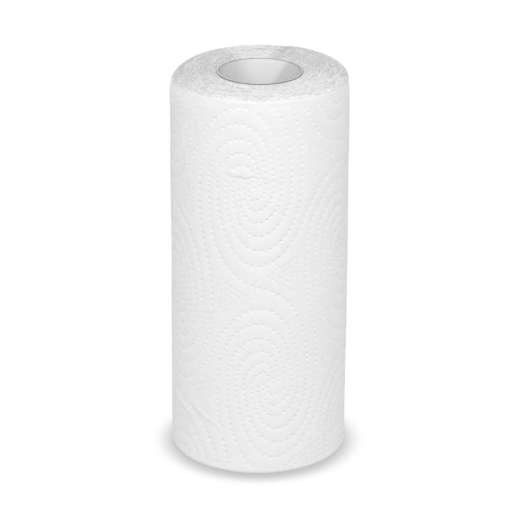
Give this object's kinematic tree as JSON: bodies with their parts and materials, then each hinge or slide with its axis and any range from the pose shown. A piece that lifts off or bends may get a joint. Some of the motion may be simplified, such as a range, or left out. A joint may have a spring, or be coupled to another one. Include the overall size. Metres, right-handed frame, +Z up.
{
  "type": "paper towel roll",
  "caption": "Full roll of white embossed kitchen paper towel wound on a grey board core tube, standing on its end.",
  "frame": {"origin": "middle of the bottom end, on the axis of the roll", "axes": "+Z up along the axis of the roll, -Y towards the front that the picture shows, +X to the right in the picture"},
  "size_m": [0.1018, 0.1013, 0.228],
  "materials": {
    "core_board": "matte grey board",
    "towel_paper": "matte soft tissue paper"
  },
  "bodies": {
    "root": {"core_tube": "core_board", "towel_roll": "towel_paper"}
  },
  "joints": []
}
